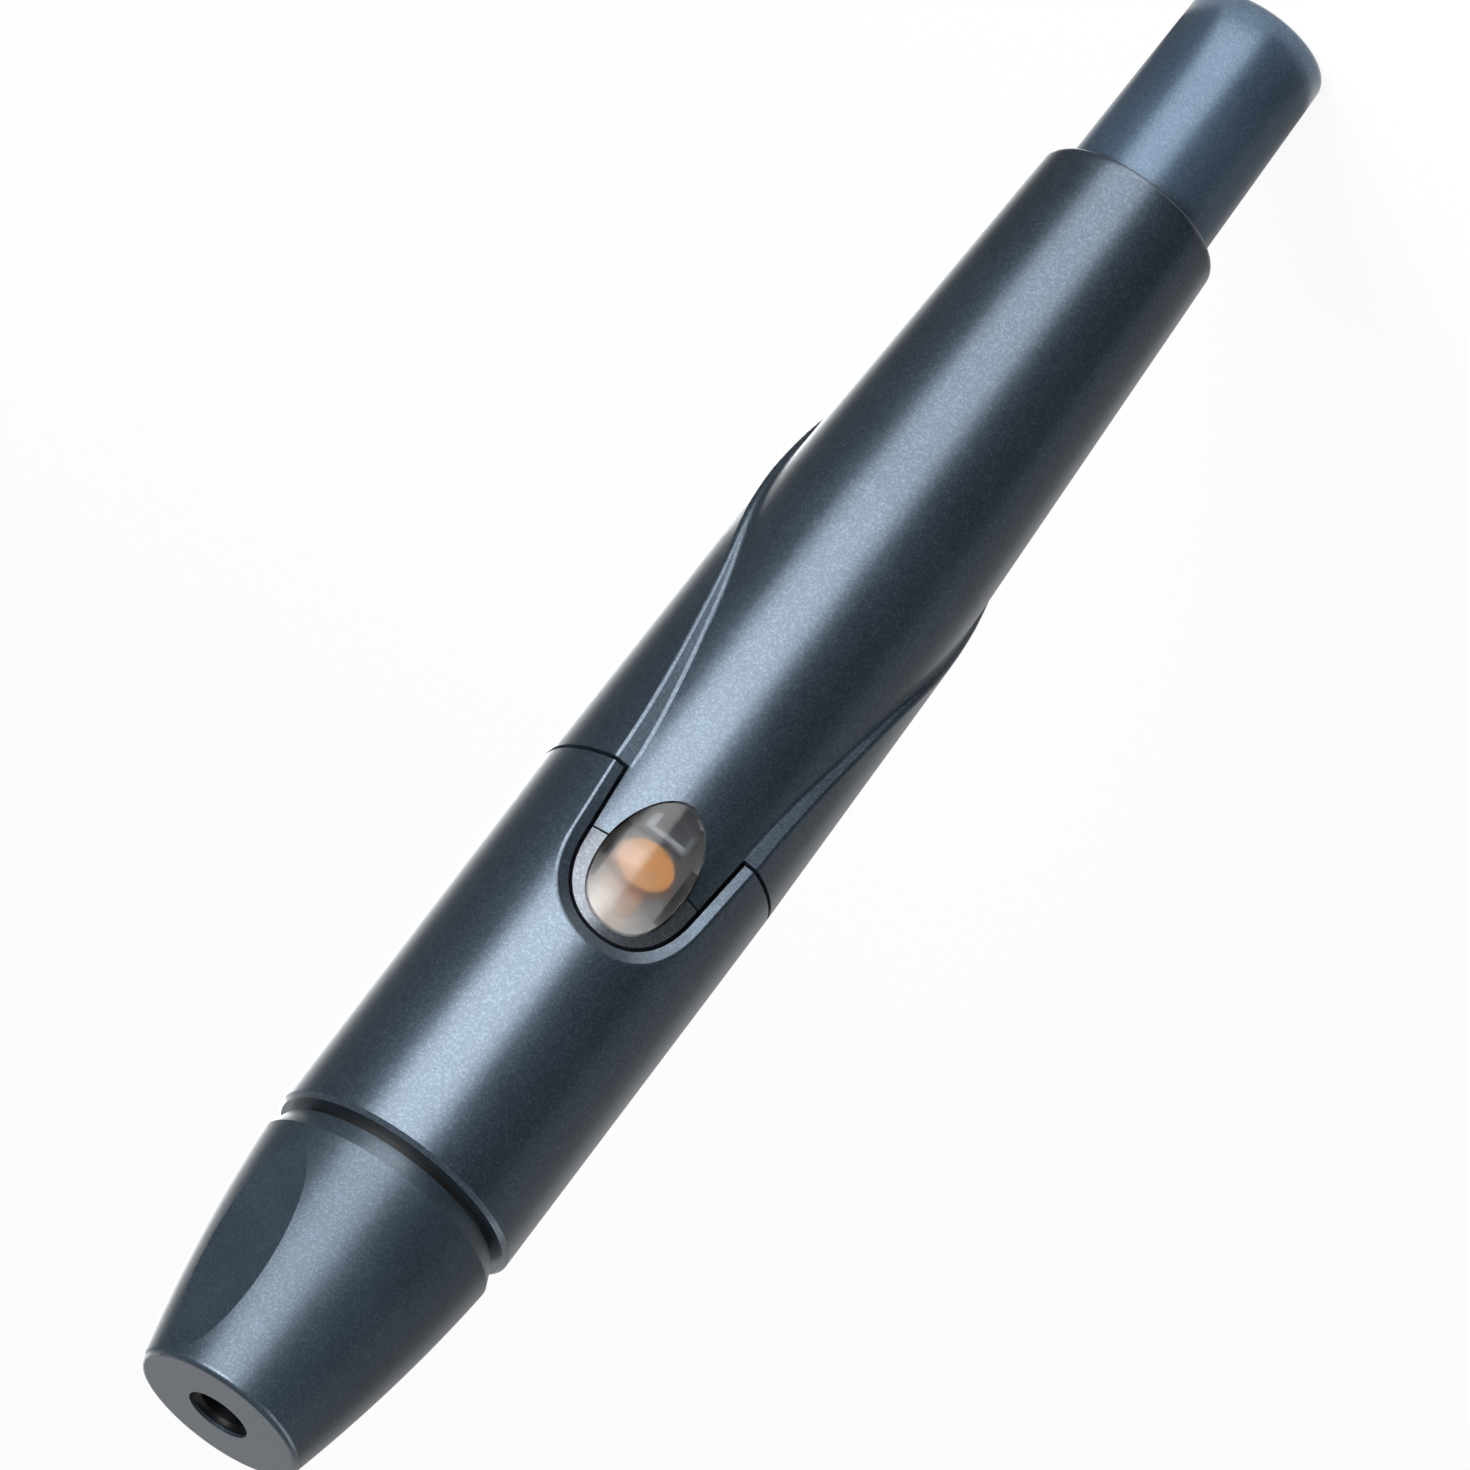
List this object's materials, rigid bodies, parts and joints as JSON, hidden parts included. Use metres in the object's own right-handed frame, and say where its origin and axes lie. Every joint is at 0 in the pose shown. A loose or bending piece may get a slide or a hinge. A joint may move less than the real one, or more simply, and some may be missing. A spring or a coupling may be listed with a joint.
{
  "type": "lancing device",
  "caption": "Pen-style finger lancing device with a tapered pull-off cap, ejector sleeve, clear release button, tapered rear housing and cocking plunger.",
  "frame": {"origin": "centre of the plunger's flat end face, on which the pen stands", "axes": "+Z runs along the pen towards the tip, and the release button faces -Y"},
  "size_m": [0.0176, 0.0176, 0.1186],
  "materials": {
    "pearl_housing": "pearly satin moulded ABS",
    "cap_plastic": "pearly satin moulded ABS",
    "plunger_plastic": "fine satin moulded ABS",
    "dial_plastic": "plain moulded acetal",
    "chassis_plastic": "plain moulded acetal",
    "surround_plastic": "satin moulded ABS",
    "clear_plastic": "clear polycarbonate",
    "indicator_orange": "moulded acetal",
    "striker_plastic": "natural acetal",
    "spring_steel": "drawn wire"
  },
  "bodies": {
    "housing": {"rear_housing": "pearl_housing", "chassis": "chassis_plastic", "button_surround": "surround_plastic", "rear_bush": "chassis_plastic", "trigger_pin": "spring_steel", "trigger_spring": "spring_steel", "return_spring": "spring_steel", "drive_spring": "spring_steel", "plunger_spring": "spring_steel"},
    "sleeve": {"front_sleeve": "pearl_housing", "depth_window": "clear_plastic", "ejector_fork": "chassis_plastic", "ejector_pin": "spring_steel", "dial_click_spring": "spring_steel"},
    "dial": {"depth_dial": "dial_plastic"},
    "cap": {"cap": "cap_plastic"},
    "plunger": {"plunger": "plunger_plastic", "prime_sleeve": "chassis_plastic", "drive_spring_seat": "chassis_plastic"},
    "striker": {"striker": "striker_plastic", "lancet_holder": "striker_plastic", "prime_indicator": "indicator_orange"},
    "button": {"release_button": "clear_plastic"},
    "trigger": {"trigger_lever": "chassis_plastic"}
  },
  "joints": [
    {"name": "plunger_press", "type": "slide", "parent": "housing", "child": "plunger", "axis": [0, 0, 1], "range_m": [0, 0.009], "stiffness_N_per_m": 300, "springref_m": -0.008, "deforming": ["plunger_spring", "drive_spring"]},
    {"name": "striker_fire", "type": "slide", "parent": "housing", "child": "striker", "axis": [0, 0, 1], "range_m": [0, 0.0055], "stiffness_N_per_m": 120, "springref_m": -0.004, "deforming": ["return_spring", "drive_spring"]},
    {"name": "button_press", "type": "slide", "parent": "housing", "child": "button", "axis": [0, 1, 0], "range_m": [0, 0.0009], "stiffness_N_per_m": 1000, "springref_m": -0.001},
    {"name": "trigger_rock", "type": "hinge", "parent": "housing", "child": "trigger", "pos_m": [0, -0.00505, 0.06705], "axis": [-1, 0, 0], "range_deg": [0, 12.5], "deforming": ["trigger_spring"]},
    {"name": "sleeve_eject", "type": "slide", "parent": "housing", "child": "sleeve", "axis": [0, 0, 1], "range_m": [0, 0.006]},
    {"name": "dial_turn", "type": "hinge", "parent": "sleeve", "child": "dial", "pos_m": [0, 0, 0.09955], "axis": [0, 0, 1], "range_deg": [-75, 75]},
    {"name": "cap_pull", "type": "slide", "parent": "dial", "child": "cap", "axis": [0, 0, 1], "range_m": [0, 0.03]}
  ],
  "couplings": [
    {"joint": "trigger_rock", "follows": "button_press", "rad_per_m": 232.56}
  ]
}
